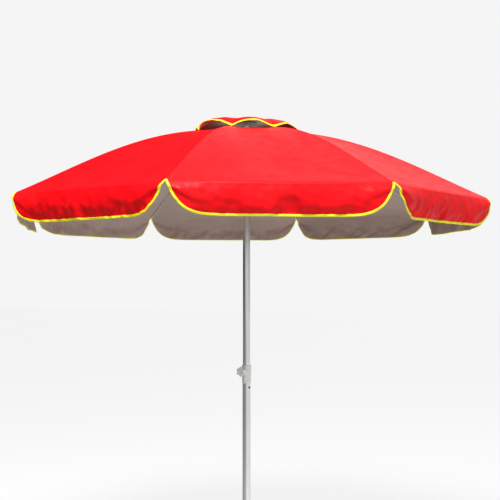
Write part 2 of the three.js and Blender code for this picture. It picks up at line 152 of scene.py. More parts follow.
# degrees, metres and mm
CAMERA = {"azimuth": 15.26, "distance": 4.10, "height": 1.482, "pitch": 1.88, "right": 0.21, "lens": 67.35,
          "sensor": 36}


def camera_axes():
    """Level directions from the umbrella to the camera, and to the camera's right."""
    a = math.radians(CAMERA["azimuth"])
    return Vector((math.sin(a), -math.cos(a), 0)), Vector((math.cos(a), math.sin(a), 0))


# -------- mesh helpers
def new_object(name, mesh):
    piece = bpy.data.objects.new(name, mesh)
    bpy.context.scene.collection.objects.link(piece)
    return piece


def add_mesh(name, points, faces, materials, slots=None, uvs=None, sharp=50):
    mesh = bpy.data.meshes.new(name)
    mesh.from_pydata([tuple(p) for p in points], [], [tuple(f) for f in faces])
    for material in materials:
        mesh.materials.append(material)
    if slots is not None:
        mesh.polygons.foreach_set("material_index", slots)
    if uvs is not None:
        mesh.uv_layers.new(name="UVMap").data.foreach_set("uv", np.asarray(uvs, np.float32).ravel())
    mesh.validate()
    shade(mesh, sharp)
    return new_object(name, mesh)


def shade(mesh, sharp=50):
    mesh.polygons.foreach_set("use_smooth", [True] * len(mesh.polygons))
    mesh.set_sharp_from_angle(angle=math.radians(sharp))


def apply_modifiers(piece, sharp=50):
    bpy.context.view_layer.update()
    graph = bpy.context.evaluated_depsgraph_get()
    mesh = bpy.data.meshes.new_from_object(
        piece.evaluated_get(graph), preserve_all_data_layers=True, depsgraph=graph
    )
    piece.modifiers.clear()
    piece.data = mesh
    shade(mesh, sharp)
    return piece


def grid_faces(rows, columns, start=0):
    """Quads over rows x columns points stored row by row."""
    at = start + np.arange(rows * columns).reshape(rows, columns)
    corners = (at[:-1, :-1], at[1:, :-1], at[1:, 1:], at[:-1, 1:])
    return np.stack([c.ravel() for c in corners], axis=1)


def ring_faces(stations, sides, closed_ends=True):
    """Faces of a tube whose rings of points are stored one after another, turning left about its path."""
    faces = []
    for i in range(stations - 1):
        for j in range(sides):
            n = (j + 1) % sides
            faces.append((i * sides + j, i * sides + n, (i + 1) * sides + n, (i + 1) * sides + j))
    if closed_ends:
        faces.append(tuple(reversed(range(sides))))
        faces.append(tuple((stations - 1) * sides + j for j in range(sides)))
    return faces


def frames_along(path, up):
    """Tangent and two side vectors at each point of a path."""
    tangent = np.gradient(path, axis=0)
    tangent /= np.linalg.norm(tangent, axis=1)[:, None]
    side = np.cross(np.asarray(up, float), tangent)
    side /= np.linalg.norm(side, axis=1)[:, None]
    return tangent, side, np.cross(tangent, side)


def rod_parts(path, radius, sides=16, up=(0, 1, 0)):
    """Points and faces of a round rod along a path, with softly turned-in ends."""
    path = np.asarray(path, float)
    tangent, side, other = frames_along(path, up)
    radii = np.broadcast_to(np.asarray(radius, float), len(path)).copy()
    path = np.vstack([path[0], path, path[-1]])
    side, other = (np.vstack([v[0], v, v[-1]]) for v in (side, other))
    lip = 0.25 * radii[[0, -1]]
    path[1] += tangent[0] * lip[0]
    path[-2] -= tangent[-1] * lip[1]
    radii = np.concatenate([[radii[0] - lip[0]], radii, [radii[-1] - lip[1]]])
    turn = around(sides)
    ring = (np.cos(turn)[None, :, None] * side[:, None, :]
            + np.sin(turn)[None, :, None] * other[:, None, :])
    points = path[:, None, :] + radii[:, None, None] * ring
    return points.reshape(-1, 3), ring_faces(len(path), sides)


def lathe_parts(profile, segments=96, lobes=0, lobe=0.0):
    """Points and faces of a closed profile of (radius, height[, lobe share]) turned about Z.
    A profile that starts and ends on the axis closes there, and any other closes on its first point."""
    turn = around(segments)
    on_axis = profile[0][0] == 0 and profile[-1][0] == 0
    middle = profile[1:-1] if on_axis else profile
    points = []
    for radius, height, *share in middle:
        wave = lobe * (share[0] if share else 0) * np.cos(lobes * turn)
        r = radius + wave
        points.append(np.stack([r * np.cos(turn), r * np.sin(turn), np.full(segments, height)], axis=1))
    points = np.concatenate(points)
    rows = len(middle)
    faces = []
    for i in range(rows - 1 if on_axis else rows):
        for j in range(segments):
            a, b = i * segments, ((i + 1) % rows) * segments
            n = (j + 1) % segments
            faces.append((a + j, a + n, b + n, b + j))
    if on_axis:
        points = np.vstack([points, [0, 0, profile[0][1]], [0, 0, profile[-1][1]]])
        first, last = rows * segments, rows * segments + 1
        top = (rows - 1) * segments
        for j in range(segments):
            n = (j + 1) % segments
            faces.append((first, n, j))
            faces.append((last, top + j, top + n))
    return points, faces


def joined(*parts):
    """Several (points, faces) pairs as one."""
    points, faces, start = [], [], 0
    for p, f in parts:
        points.append(np.asarray(p, float))
        faces += [tuple(int(i) + start for i in face) for face in f]
        start += len(p)
    return np.concatenate(points), faces


def placed(parts, matrix):
    points, faces = parts
    m = np.array(matrix)
    return points @ m[:3, :3].T + m[:3, 3], faces


def box_parts(lo, hi):
    xs, ys, zs = zip(lo, hi)
    points = [(x, y, z) for x in xs for y in ys for z in zs]
    faces = [(0, 1, 3, 2), (4, 6, 7, 5), (0, 4, 5, 1), (2, 3, 7, 6), (0, 2, 6, 4), (1, 5, 7, 3)]
    return np.array(points), faces


def broken_ring(inner, outer, bottom, top, soft):
    """The profile of a ring or a tube with its edges broken."""
    return [(inner, bottom + soft), (inner + soft, bottom), (outer - soft, bottom), (outer, bottom + soft),
            (outer, top - soft), (outer - soft, top), (inner + soft, top), (inner, top - soft)]


def pin_parts(x0, x1, radius, segments=48):
    """A cylinder along +X."""
    profile = [(0, x0), (radius, x0), (radius, x1), (0, x1)]
    return placed(lathe_parts(profile, segments), Matrix.Rotation(math.pi / 2, 4, "Y"))


def solid(name, parts, materials, cuts=(), adds=(), sharp=50):
    """A piece from points and faces, with boolean joins and cuts by others."""
    piece = add_mesh(name, *parts, materials, sharp=sharp)
    fix_normals(piece.data)
    tools = []
    for kind, shapes in (("UNION", adds), ("DIFFERENCE", cuts)):
        for i, shape in enumerate(shapes):
            tool = add_mesh(f"{name}_tool_{kind}_{i}", *shape, [])
            fix_normals(tool.data)
            tools.append(tool)
            step = piece.modifiers.new("step", "BOOLEAN")
            step.operation, step.object, step.solver = kind, tool, "EXACT"
    if tools:
        apply_modifiers(piece, sharp)
    for tool in tools:
        bpy.data.objects.remove(tool)
    return piece


def fix_normals(mesh):
    work = bmesh.new()
    work.from_mesh(mesh)
    bmesh.ops.recalc_face_normals(work, faces=work.faces)
    work.to_mesh(mesh)
    work.free()


def moulded(piece, voxel, rounds):
    """Rounds a piece's edges as a mould leaves them."""
    remesh = piece.modifiers.new("remesh", "REMESH")
    remesh.mode, remesh.voxel_size, remesh.use_smooth_shade = "VOXEL", voxel, True
    soften = piece.modifiers.new("soften", "CORRECTIVE_SMOOTH")
    soften.iterations, soften.factor, soften.use_only_smooth = rounds, 0.5, True
    return apply_modifiers(piece, 180)


def aimed(piece, azimuth, height=0.0):
    """Places a piece made along +X at an azimuth and a height."""
    piece.matrix_world = Matrix.Translation((0, 0, height)) @ Matrix.Rotation(azimuth, 4, "Z")
    return piece


def fitted(piece, body, slot_name, *nodes):
    """The piece rides on a body and stands for CAD nodes."""
    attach(piece, body)
    if nodes:
        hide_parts(*nodes)
    return piece


def for_each_rib(make, name, body, slot_name, node):
    """Builds a piece for rib 1 and stands copies of it at the other ribs."""
    first = make(f"{name}_1")
    pieces = [first] + [new_object(f"{name}_{k}", first.data) for k in range(2, RIBS + 1)]
    for k, piece in enumerate(pieces, start=1):
        aimed(piece, GORE * (k - 1))
        fitted(piece, f"{body}_{k}", slot_name, f"{node}_{k}")


# -------- materials
FLOOR_GLOW, FLOOR_BOUNCE = 0.675, 0.52  # the floor's own light to the camera, and to the object
FLOOR_COLOUR, FLOOR_DULL = (0.45, 0.45, 0.447), (0.43, 0.43, 0.427)
THREAD = 0.00055  # from one thread of the cloth to the next
TAPE_RIB, STITCH, STITCH_LINE = 0.0011, 0.0034, 0.0022  # the tape's ribs, its stitches and their place on it
YELLOW_TAPE, YELLOW_DEEP = (0.93, 0.91, 0.006), (0.82, 0.76, 0.004)


class Nodes:
    """A node tree, with short ways to add to it."""

    def __init__(self, tree):
        self.tree = tree

    def connect(self, value, socket):
        if isinstance(value, bpy.types.NodeSocket):
            self.tree.links.new(value, socket)
        else:
            socket.default_value = value

    def add(self, kind, inputs=(), **settings):
        node = self.tree.nodes.new("ShaderNode" + kind)
        for name, value in settings.items():
            setattr(node, name, value)
        for name, value in dict(inputs).items():
            self.connect(value, node.inputs[name])
        return node

    def maths(self, operation, a, b=0.0):
        return self.add("Math", {0: a, 1: b}, operation=operation).outputs[0]

    def ramp(self, value, low_end, high_end, to_low=0.0, to_high=1.0, **settings):
        inputs = {0: value, 1: low_end, 2: high_end, 3: to_low, 4: to_high}
        return self.add("MapRange", inputs, **settings).outputs[0]

    def along(self, vector, direction):
        inputs = {0: vector, 1: direction}
        return self.add("VectorMath", inputs, operation="DOT_PRODUCT").outputs["Value"]


class Recipe(Nodes):
    """A Principled material, with short ways to add textures and bumps."""

    def __init__(self, name, colour, roughness, metallic=0.0, **more):
        self.material = bpy.data.materials.new(name)
        self.material.use_nodes = True
        super().__init__(self.material.node_tree)
        self.shader = self.tree.nodes["Principled BSDF"]
        self.set(Base_Color=(*colour, 1), Roughness=roughness, Metallic=metallic, **more)
        self.normal = None

    def set(self, **values):
        for name, value in values.items():
            self.connect(value, self.shader.inputs[name.replace("_", " ")])

    def place(self, kind, scale):
        """A coordinate (UV or Object) stretched by a scale for each axis."""
        source = self.add("TexCoord").outputs[kind]
        return self.add("Mapping", {"Vector": source, "Scale": scale}).outputs[0]

    def noise(self, place, scale=1.0, detail=2.0, roughness=0.5):
        inputs = {"Vector": place, "Scale": scale, "Detail": detail, "Roughness": roughness}
        return self.add("TexNoise", inputs).outputs["Fac"]

    def mix(self, share, first, second):
        node = self.add("Mix", data_type="RGBA")
        self.connect(share, node.inputs["Factor"])
        for value, socket in ((first, node.inputs[6]), (second, node.inputs[7])):
            self.connect(value if isinstance(value, bpy.types.NodeSocket) else (*value, 1), socket)
        return node.outputs[2]

    def bump(self, height, distance, strength=1.0):
        inputs = {"Height": height, "Distance": distance, "Strength": strength}
        node = self.add("Bump", inputs)
        if self.normal is not None:
            self.tree.links.new(self.normal, node.inputs["Normal"])
        self.normal = node.outputs[0]
        self.tree.links.new(self.normal, self.shader.inputs["Normal"])


def weave(recipe, pitch):
    """Crossed threads over the UV map, which is in metres."""
    waves = []
    for direction in ("X", "Y"):
        inputs = {
            "Vector": recipe.place("UV", (1, 1, 1)), "Scale": 0.5 / pitch / math.pi, "Distortion": 0.6,
            "Detail": 1.0, "Detail Scale": 0.4,
        }
        waves.append(recipe.add("TexWave", inputs, bands_direction=direction).outputs["Fac"])
    return recipe.maths("MULTIPLY", *waves)


def cloth_material(name, colour, deep, roughness, **more):
    """Woven polyester: threads, uneven colour and gloss, soft crumples and packing creases."""
    m = Recipe(name, colour, roughness, **more)
    place = m.place("UV", (1, 1, 1))
    patches = m.noise(place, 7.0, 4.0, 0.6)
    m.set(Base_Color=m.mix(m.ramp(patches, 0.35, 0.65), deep, colour))
    m.set(Roughness=m.ramp(m.noise(place, 22.0, 3.0), 0.3, 0.7, roughness - 0.06, roughness + 0.08))
    cells = {"Vector": place, "Scale": 5.5, "Randomness": 0.8}
    crease = m.add("TexVoronoi", cells, feature="DISTANCE_TO_EDGE")
    m.bump(m.ramp(crease.outputs["Distance"], 0.0, 0.035), 0.0006, 0.35)
    m.bump(m.noise(place, 34.0, 4.0, 0.55), 0.0012, 0.5)
    m.bump(weave(m, THREAD), 0.00008, 0.5)
    return m.material


def binding_material():
    """Grosgrain tape: ribs across it, and a line of lockstitch near its edge."""
    m = Recipe("yellow_binding", YELLOW_TAPE, 0.5)
    place = m.place("UV", (1, 1, 1))
    split = m.add("SeparateXYZ", {0: place})
    ribs = m.maths("SINE", m.maths("MULTIPLY", split.outputs[0], 2 * math.pi / TAPE_RIB))
    pitch = m.maths("FRACT", m.maths("DIVIDE", split.outputs[0], STITCH))
    dash = m.ramp(pitch, 0.62, 0.7, 1.0, 0.0)
    aside = m.maths("ABSOLUTE", m.maths("SUBTRACT", split.outputs[1], STITCH_LINE))
    line = m.ramp(aside, 0.0003, 0.0006, 1.0, 0.0)
    stitch = m.maths("MULTIPLY", dash, line)
    soil = m.ramp(m.noise(place, 30.0, 3.0), 0.35, 0.7)
    m.set(Base_Color=m.mix(m.maths("MULTIPLY", soil, 0.5), YELLOW_TAPE, YELLOW_DEEP))
    m.bump(ribs, 0.00006, 0.6)
    m.bump(stitch, 0.0004, 0.7)
    return m.material


def brushed_metal(name, colour, roughness, streak):
    """Metal drawn along the pole: fine streaks down it, faint patches in its gloss."""
    m = Recipe(name, colour, roughness, 1.0)
    streaks = m.noise(m.place("Object", (900, 900, streak)), 1.0, 3.0)
    patches = m.noise(m.place("Object", (12, 12, 5)), 1.0, 3.0)
    both = m.maths("MULTIPLY", streaks, patches)
    m.set(Roughness=m.ramp(both, 0.1, 0.45, roughness - 0.05, roughness + 0.1))
    dull = tuple(0.9 * c for c in colour)
    m.set(Base_Color=m.mix(m.ramp(patches, 0.35, 0.7), colour, dull))
    m.bump(streaks, 0.00004, 0.35)
    return m.material


def plastic(name, colour, roughness, worn):
    """Moulded plastic: the mould's fine texture, uneven gloss and slight soiling."""
    m = Recipe(name, colour, roughness)
    place = m.place("Object", (1, 1, 1))
    soil = m.noise(place, 60.0, 4.0, 0.6)
    m.set(Base_Color=m.mix(m.ramp(soil, 0.45, 0.75), colour, worn))
    m.set(Roughness=m.ramp(m.noise(place, 160.0, 2.0), 0.3, 0.7, roughness - 0.06, roughness + 0.08))
    m.bump(m.noise(place, 900.0, 2.0), 0.00006, 0.5)
    return m.material


def fibreglass():
    """Pultruded rod: long fibre streaks under a thin gloss."""
    m = Recipe("ivory_fibreglass", (0.78, 0.74, 0.64), 0.42, Coat_Weight=0.2)
    place = m.place("UV", (3.0, 900.0, 1))
    fibres = m.noise(place, 1.0, 3.0)
    m.set(Base_Color=m.mix(m.ramp(fibres, 0.35, 0.7), (0.80, 0.76, 0.66), (0.62, 0.58, 0.49)))
    m.bump(fibres, 0.00005, 0.4)
    return m.material


def floor_material():
    """A pale floor with a light of its own, so that it meets the backdrop without an edge.
    The object sees less of that light, and least from the left, where the studio is dark."""
    m = Recipe("pale_floor", FLOOR_COLOUR, 0.85, Emission_Color=(1, 1, 1, 1))
    place = m.place("Object", (1, 1, 1))
    _, right = camera_axes()
    outward = m.add("VectorMath", {0: place}, operation="NORMALIZE").outputs["Vector"]
    seen = m.add("LightPath").outputs["Is Camera Ray"]
    other = m.ramp(m.along(outward, -right), -0.1, 0.4, FLOOR_BOUNCE, 0.0)
    glow = m.add("Mix", {"Factor": seen, "A": other, "B": FLOOR_GLOW}).outputs[0]
    m.set(Emission_Strength=glow)
    m.set(Base_Color=m.mix(m.noise(place, 1.3, 4.0), FLOOR_COLOUR, FLOOR_DULL))
    m.bump(m.noise(place, 90.0, 3.0), 0.0005, 0.3)
    return m.material


RED = cloth_material("red_cloth", (0.88, 0.004, 0.008), (0.80, 0.002, 0.006), 0.40,
                     Specular_IOR_Level=0.13)
TAUPE = cloth_material("taupe_lining", (0.54, 0.42, 0.37), (0.50, 0.385, 0.34), 0.62,
                       Specular_IOR_Level=0.25, Sheen_Weight=0.1)
YELLOW = binding_material()
ALUMINIUM = brushed_metal("satin_aluminium", (0.86, 0.87, 0.88), 0.20, 2.0)
STEEL = brushed_metal("zinc_steel", (0.62, 0.63, 0.64), 0.34, 40.0)
GREY_BROWN = plastic("taupe_plastic", (0.26, 0.20, 0.18), 0.5, (0.22, 0.17, 0.15))
WHITE = plastic("white_plastic", (0.90, 0.90, 0.89), 0.42, (0.84, 0.835, 0.82))
DARK = plastic("dark_plastic", (0.030, 0.031, 0.034), 0.45, (0.055, 0.054, 0.053))
PAINT = plastic("white_powder_coat", (0.74, 0.74, 0.71), 0.38, (0.64, 0.63, 0.60))
FIBRE = fibreglass()


# -------- the cloth's surface
ROOF_WAVE, ROOF_WAVE_SIZE = 0.0022, 0.34
ROOF_CRUMPLE, ROOF_CRUMPLE_SIZE = 0.00035, 0.075
PULL, PULL_FOLDS, PULL_AT, PULL_WIDTH = 0.0011, 9, 0.16, 0.12  # creases that fan out from a rib's tip
RIDGE, RIDGE_WIDTH = 0.0006, 0.0045  # the cloth over a rib
ROLL, ROLL_DOWN, ROLL_IN = 0.004, 0.45, 0.3  # the fold's radius, and how much of it rounds the edge off
SEAM, SEAM_AT, SEAM_WIDTH = 0.0015, 0.006, 0.0035  # the stitched line under the fold
BESIDE = 0.13  # how far from a rib the flaps still flare as they do beside it
FLAP_WAVES = (  # seed, height, power of the depth, stretch down the flap, size
    (300, 0.0048, 1.2, 0.4, 0.21),
    (400, 0.0020, 0.5, 1.0, 0.062),
    (500, 0.0010, 0.5, 1.0, 0.028),
)


def ripple(seed, p, q, size, waves=6):
    """Smooth seeded unevenness of about that size, within about -1 and 1."""
    rng = np.random.default_rng(seed)
    total = np.zeros(np.broadcast(p, q).shape)
    for _ in range(waves):
        angle, phase = rng.uniform(0, 2 * math.pi, 2)
        length = size * rng.uniform(0.7, 1.5)
        total += np.sin((p * math.cos(angle) + q * math.sin(angle)) * 2 * math.pi / length + phase)
    return total / waves**0.5


def smoothstep(value, start=0.0, end=1.0):
    t = np.clip((value - start) / (end - start), 0, 1)
    return t * t * (3 - 2 * t)


def flap_depth(a):
    """Depth of a flap at a distance from the rib: a steep side, a rounded corner and a level hem."""
    a = np.abs(a)
    return VALANCE * (1 - np.exp(-a / NOTCH_WIDTH - (a / NOTCH_CORNER) ** 3))


def roof_lift(gore, x, r):
    """How far a gore's roof stands above its plain shape: x is -1 and 1 at its ribs."""
    s = np.clip((r - VENT) / (SPAN - VENT), 0, 1)
    held = (1 - x**2) * np.sin(math.pi * s)
    q = x * r * math.sin(HALF)
    broad = ROOF_WAVE * ripple(100 + gore, q, r, ROOF_WAVE_SIZE)
    fine = ROOF_CRUMPLE * ripple(200 + gore, q, r, ROOF_CRUMPLE_SIZE)
    pull = 0.0
    for end in (-1, 1):
        along, across = SPAN - r, (end - x) * end * CHORD * r / SPAN
        reach = np.hypot(along, across)
        angle = np.arctan2(along, across + 1e-6)
        fan = np.sin(PULL_FOLDS * angle + gore + end)
        pull = pull + PULL * fan * np.exp(-((reach - PULL_AT) / PULL_WIDTH) ** 2)
    return held * (broad + fine) + pull * (1 - x**2) * smoothstep(SPAN - r, 0, 0.06)


def flap_push(gore, x, v):
    """How far a gore's flap stands out from the vertical, at a depth v under the fold.
    It follows the roof's slope at first, and more so beside the ribs, then hangs."""
    d = np.clip(v / VALANCE, 0, 1.05)
    q = x * CHORD
    beside = np.exp(-((CHORD * (1 - np.abs(x)) / BESIDE) ** 2))
    flare = FLARES[gore] * (FLARE_MIDDLE + (FLARE_END - FLARE_MIDDLE) * beside)
    out = flare * (1 - np.exp(-3.0 * d))
    level = d + 0.13 * ripple(800 + gore, q, 0, 0.16) + 0.05 * ripple(850 + gore, q, v, 0.05)
    out = out - HEM_TURN * (1 - 0.6 * beside) * smoothstep(level, 0.5, 1.05)
    for seed, height, power, stretch, size in FLAP_WAVES:
        out = out + height * d**power * ripple(seed + gore, q, stretch * v, size)
    rng = np.random.default_rng(600 + gore)
    for end in (-1, 1):
        depth, slope, reach = rng.uniform(0.006, 0.009), rng.uniform(0.42, 0.62), rng.uniform(0.10, 0.15)
        a = CHORD * (1 - end * x)
        below = v - (0.026 + slope * (a - 0.015))
        dent = depth * np.tanh(below / 0.007) * np.exp(-((a / reach) ** 2))
        out = out - dent * smoothstep(v, 0, 0.03)
    return out


def cloth(k, a, v):
    """Points of the outer face near rib k.
    a is the distance from the rib along the fold's chord, with a sign, and v the distance past the
    fold: down the flap where it is positive, and in towards the pole where it isn't."""
    a, v = np.broadcast_arrays(np.asarray(a, float), np.asarray(v, float))
    share = np.abs(a) / CHORD
    r = SPAN + np.minimum(v, 0)
    across = share * r * math.sin(HALF)
    sag = SAG * np.sin(math.pi * np.clip((r - VENT) / (SPAN - VENT), 0, 1))
    sag = sag * share * (2 - share)
    x, y = r - across * math.sin(HALF), np.sign(a) * across * math.cos(HALF)
    z = crown(r) + CAD_CLOTH - sag - np.maximum(v, 0)
    z = z + RIDGE * np.exp(-((a / RIDGE_WIDTH) ** 2)) * (v < 0)
    edge = np.exp(-np.abs(v) / ROLL) * smoothstep(share, 0, 0.05)
    seam = SEAM * np.exp(-(((v - SEAM_AT) / SEAM_WIDTH) ** 2)) * smoothstep(share, 0.03, 0.1)
    z = z - ROLL_DOWN * ROLL * edge
    right = a >= 0
    lift, push = np.zeros(a.shape), seam - ROLL_IN * ROLL * edge
    for side in (False, True):
        gore = (k - 1 if side else k - 2) % RIBS
        where = share - 1 if side else 1 - share
        mine = right == side
        lift = np.where(mine, roof_lift(gore, where, r), lift)
        push = np.where(mine & (v > 0), push + flap_push(gore, where, v), push)
    z = z + np.where(v < 0, lift, 0)
    x = x + push * math.cos(HALF)
    y = y + np.sign(a) * push * math.sin(HALF)
    turn = GORE * (k - 1)
    c, s = math.cos(turn), math.sin(turn)
    return np.stack([c * x - s * y, s * x + c * y, z], axis=-1)


def cap_wave(gore, u):
    """How the vent cap's rim stands up across a gore: 0 at both ribs, its own height between."""
    height, peak, flat, shoulder = CAP_GORES[gore]
    skew = math.log(0.5) / math.log(peak)
    inside = np.clip(u, 0, 1)
    wave = np.sin(math.pi * inside**skew) ** flat
    return height * np.clip(wave + shoulder * np.sin(math.pi * inside) ** 2 * (u - peak), 0, None)


# height of the rim's wave, where it peaks, how sharp it is, and how much it leans on
CAP_GORES = [
    (0.027, 0.52, 1.1, 0.2), (0.024, 0.45, 1.4, 0.5), (0.029, 0.58, 0.9, -0.3), (0.025, 0.42, 1.2, 0.4),
    (0.028, 0.50, 1.0, 0.0), (0.036, 0.34, 0.8, 0.1), (0.027, 0.40, 1.5, 1.1), (0.025, 0.52, 1.0, 0.2),
]


def cap(k, angle, r):
    """Points of the vent cap's outer face, at an angle from rib k and a distance r from the apex."""
    angle, r = np.broadcast_arrays(np.asarray(angle, float), np.asarray(r, float))
    share = r / CAP_RADIUS
    height = np.zeros(angle.shape)
    for side in (False, True):
        gore = (k - 1 if side else k - 2) % RIBS
        u = angle / GORE if side else 1 + angle / GORE
        q = (u - 0.5) * r * GORE
        wave = cap_wave(gore, u) * np.clip(share, 0, 2) ** 3
        held = np.sin(math.pi * np.clip(u, 0, 1)) ** 2
        wave = wave + 0.0016 * held * ripple(700 + gore, q, r, 0.07) * share
        height = np.where((angle >= 0) == side, wave, height)
    height = height + 0.0012 * np.exp(-((angle * r / 0.005) ** 2)) * share
    flat = 1 - (1 - math.cos(HALF)) * np.sin(angle * RIBS / 2) ** 2
    z = CAP_APEX - (CAP_APEX - CAP_REST) * share**CAP_POWER + height
    turn = angle + GORE * (k - 1)
    return np.stack([r * flat * np.cos(turn), r * flat * np.sin(turn), z], axis=-1)


# -------- cloth pieces
BANDS = {  # name: inner radius, outer radius, rows, share of its width that is left when it is folded
    "canopy_top": (VENT, 0.42, 25, 0.36),
    "canopy_middle": (0.42, 0.74, 27, 0.26),
    "canopy_lower": (0.74, SPAN, 22, 0.17),
}
NEAR_FOLD = (0.009, 0.005, 0.0025, 0.001)  # extra rows above the fold
FLAP_ROWS = (0, 0.012, 0.03, 0.055, 0.09, 0.14) + tuple(np.linspace(0.2, 1, 16))


def columns():
    """Distances from the rib, along the fold's chord, of the columns of points on both of its sides."""
    near = [0, 0.0025, 0.005, 0.0075, 0.011, 0.015, 0.021]
    one = np.concatenate([near, np.linspace(0.028, CHORD, 44)])
    return np.concatenate([-one[:0:-1], one])


def as_sheet(name, points, faces, uvs):
    """A thin closed sheet under the given outer face, red outside and taupe inside."""
    piece = add_mesh(name, points, faces, [RED, TAUPE], uvs=uvs)
    work = bmesh.new()
    work.from_mesh(piece.data)
    bmesh.ops.remove_doubles(work, verts=work.verts, dist=1e-6)
    bmesh.ops.dissolve_degenerate(work, edges=work.edges, dist=1e-7)
    work.to_mesh(piece.data)
    work.free()
    thicken = piece.modifiers.new("thicken", "SOLIDIFY")
    thicken.thickness, thicken.offset, thicken.material_offset = CLOTH, -1, 1
    thicken.material_offset_rim = 1
    return apply_modifiers(piece)


def cloth_uvs(k, a, v, faces, width):
    """UVs in metres for each corner of the faces, continuous across each gore."""
    corner_a, corner_v = a.ravel()[faces], v.ravel()[faces]
    share = np.abs(corner_a) / CHORD
    right = (corner_a.mean(axis=1) > 0)[:, None]
    where = np.where(right, share - 1, 1 - share)
    gore = np.where(right, (k - 1) % RIBS, (k - 2) % RIBS)
    r = SPAN + np.minimum(corner_v, 0)
    uvs = np.stack([where * width * r / SPAN + 2.0 * gore, corner_v + 1.3 * gore], axis=-1)
    return uvs.reshape(-1, 2)


def fold_with_runner(piece, k):
    """The piece rides on its rib, with a mesh of its own."""
    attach(piece, f"rib_{k}")
    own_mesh(piece)


def canopy_band(name, k):
    inner, outer, count, keep = BANDS[name]
    rows = np.linspace(inner - SPAN, outer - SPAN, count + 1)
    across = columns()
    if name == "canopy_lower":
        rows = np.concatenate([rows[:-1], [-v for v in NEAR_FOLD]])
    v = np.repeat(rows[:, None], len(across), axis=1)
    if name == "canopy_lower":
        v = np.vstack([v, [share * flap_depth(across) for share in FLAP_ROWS]])
    a = np.repeat(across[None, :], len(v), axis=0)
    faces = grid_faces(*v.shape)
    points, uvs = cloth(k, a, v).reshape(-1, 3), cloth_uvs(k, a, v, faces, CHORD)
    piece = as_sheet(f"{name}_{k}", points, faces, uvs)
    fold_with_runner(piece, k)
    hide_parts(f"canopy_sector_{k}")
    length = math.hypot(outer - inner, crown(inner) - crown(outer))
    flat_area = (inner + outer) * math.sin(HALF) * length
    if name == "canopy_lower":
        length += VALANCE
        half_flap = across[across >= 0]
        flat_area += 2 * np.trapz(flap_depth(half_flap), half_flap)
    return piece


TAPE = [  # mm in from the edge, and out from the cloth's outer face
    (7.6, 0.12), (7.2, 0.75), (4.0, 0.95), (1.0, 0.95), (-0.6, 0.65), (-1.2, -0.45), (-0.6, -1.55),
    (1.0, -1.85), (3.4, -1.7), (3.8, -1.0)]


def tape(name, surface, path, inward, scale=(1.0, 1.0)):
    """A folded binding round an edge of a surface.
    path and inward are points and directions in the surface's own plane, and scale turns that
    plane's metres into the surface's two numbers."""
    step = 0.0004
    section = np.array(TAPE) * MM
    flat = path[:, None, :] + section[None, :, 0, None] * inward[:, None, :]
    p, q = flat[..., 0] * scale[0], flat[..., 1] * scale[1]
    base = surface(p, q)
    along = surface(p + step * scale[0], q) - surface(p - step * scale[0], q)
    down = surface(p, q + step * scale[1]) - surface(p, q - step * scale[1])
    normal = np.cross(down, along)
    normal /= np.linalg.norm(normal, axis=-1)[..., None]
    points = (base + section[None, :, 1, None] * normal).reshape(-1, 3)
    stations, sides = len(path), len(section)
    faces = ring_faces(stations, sides)
    far, round_it = distances_along(path), distances_along(section)
    uvs = [(far[i // sides], round_it[i % sides]) for face in faces for i in face]
    piece = add_mesh(name, points, faces, [YELLOW], uvs=uvs)
    fix_normals(piece.data)
    shade(piece.data, 70)
    return piece


def flap_edge(spacing=0.005):
    """The free edge of a sector's two half flaps, from one hem's middle over the rib's tip."""
    a = CHORD * np.linspace(0, 1, 3000) ** 3
    line = np.stack([a, flap_depth(a)], axis=1)
    far = distances_along(line)
    even = np.linspace(0, far[-1], int(far[-1] / spacing))
    side = np.stack([np.interp(even, far, line[:, i]) for i in (0, 1)], axis=1)
    tangent = np.gradient(side, axis=0)
    tangent /= np.linalg.norm(tangent, axis=1)[:, None]
    inward = np.stack([tangent[:, 1], -tangent[:, 0]], axis=1)
    side, inward = side[1:], inward[1:]
    start = math.atan2(inward[0, 1], inward[0, 0])
    fan = np.linspace(-math.pi - start, start, 9)
    over = np.stack([np.cos(fan), np.sin(fan)], axis=1)
    mirror = np.array([-1, 1])
    path = np.vstack([side[::-1] * mirror, np.zeros((9, 2)), side])
    return path, np.vstack([inward[::-1] * mirror, over, inward])


def edge_binding(k):
    path, inward = flap_edge()
    piece = tape(f"edge_binding_{k}", lambda p, q: cloth(k, p, q), path, inward)
    fold_with_runner(piece, k)


def vent_hem(k):
    """The narrow binding round the opening at the crown of the main canopy."""
    a = np.linspace(-CHORD, CHORD, 41)
    path = np.stack([a, np.full(a.shape, VENT - SPAN)], axis=1)
    inward = np.repeat([[0.0, 1.0]], len(a), axis=0)
    piece = tape(f"vent_hem_{k}", lambda p, q: cloth(k, p, q), path, inward)
    piece.data.materials[0] = RED
    fold_with_runner(piece, k)


def cap_folds(piece):
    """Bakes the piece's placement into its mesh."""
    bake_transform(piece)


def vent_cap(k):
    r = np.linspace(0, 1, 25) ** 0.8 * CAP_RADIUS
    angle = np.linspace(-HALF, HALF, 33)
    rr, aa = np.meshgrid(r, angle, indexing="ij")
    faces = grid_faces(*rr.shape)
    where = aa.ravel()[faces]
    right = (where.mean(axis=1) > 0)[:, None]
    gore = np.where(right, (k - 1) % RIBS, (k - 2) % RIBS)
    u = np.where(right, where, where + GORE) - HALF
    radii = rr.ravel()[faces]
    uvs = np.stack([u * radii + 2.0 * gore + 0.9, radii + 1.7 * gore], axis=-1)
    piece = as_sheet(f"vent_cloth_{k}", cap(k, aa, rr).reshape(-1, 3), faces, uvs.reshape(-1, 2))
    cap_folds(piece)
    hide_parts("vent_cap")


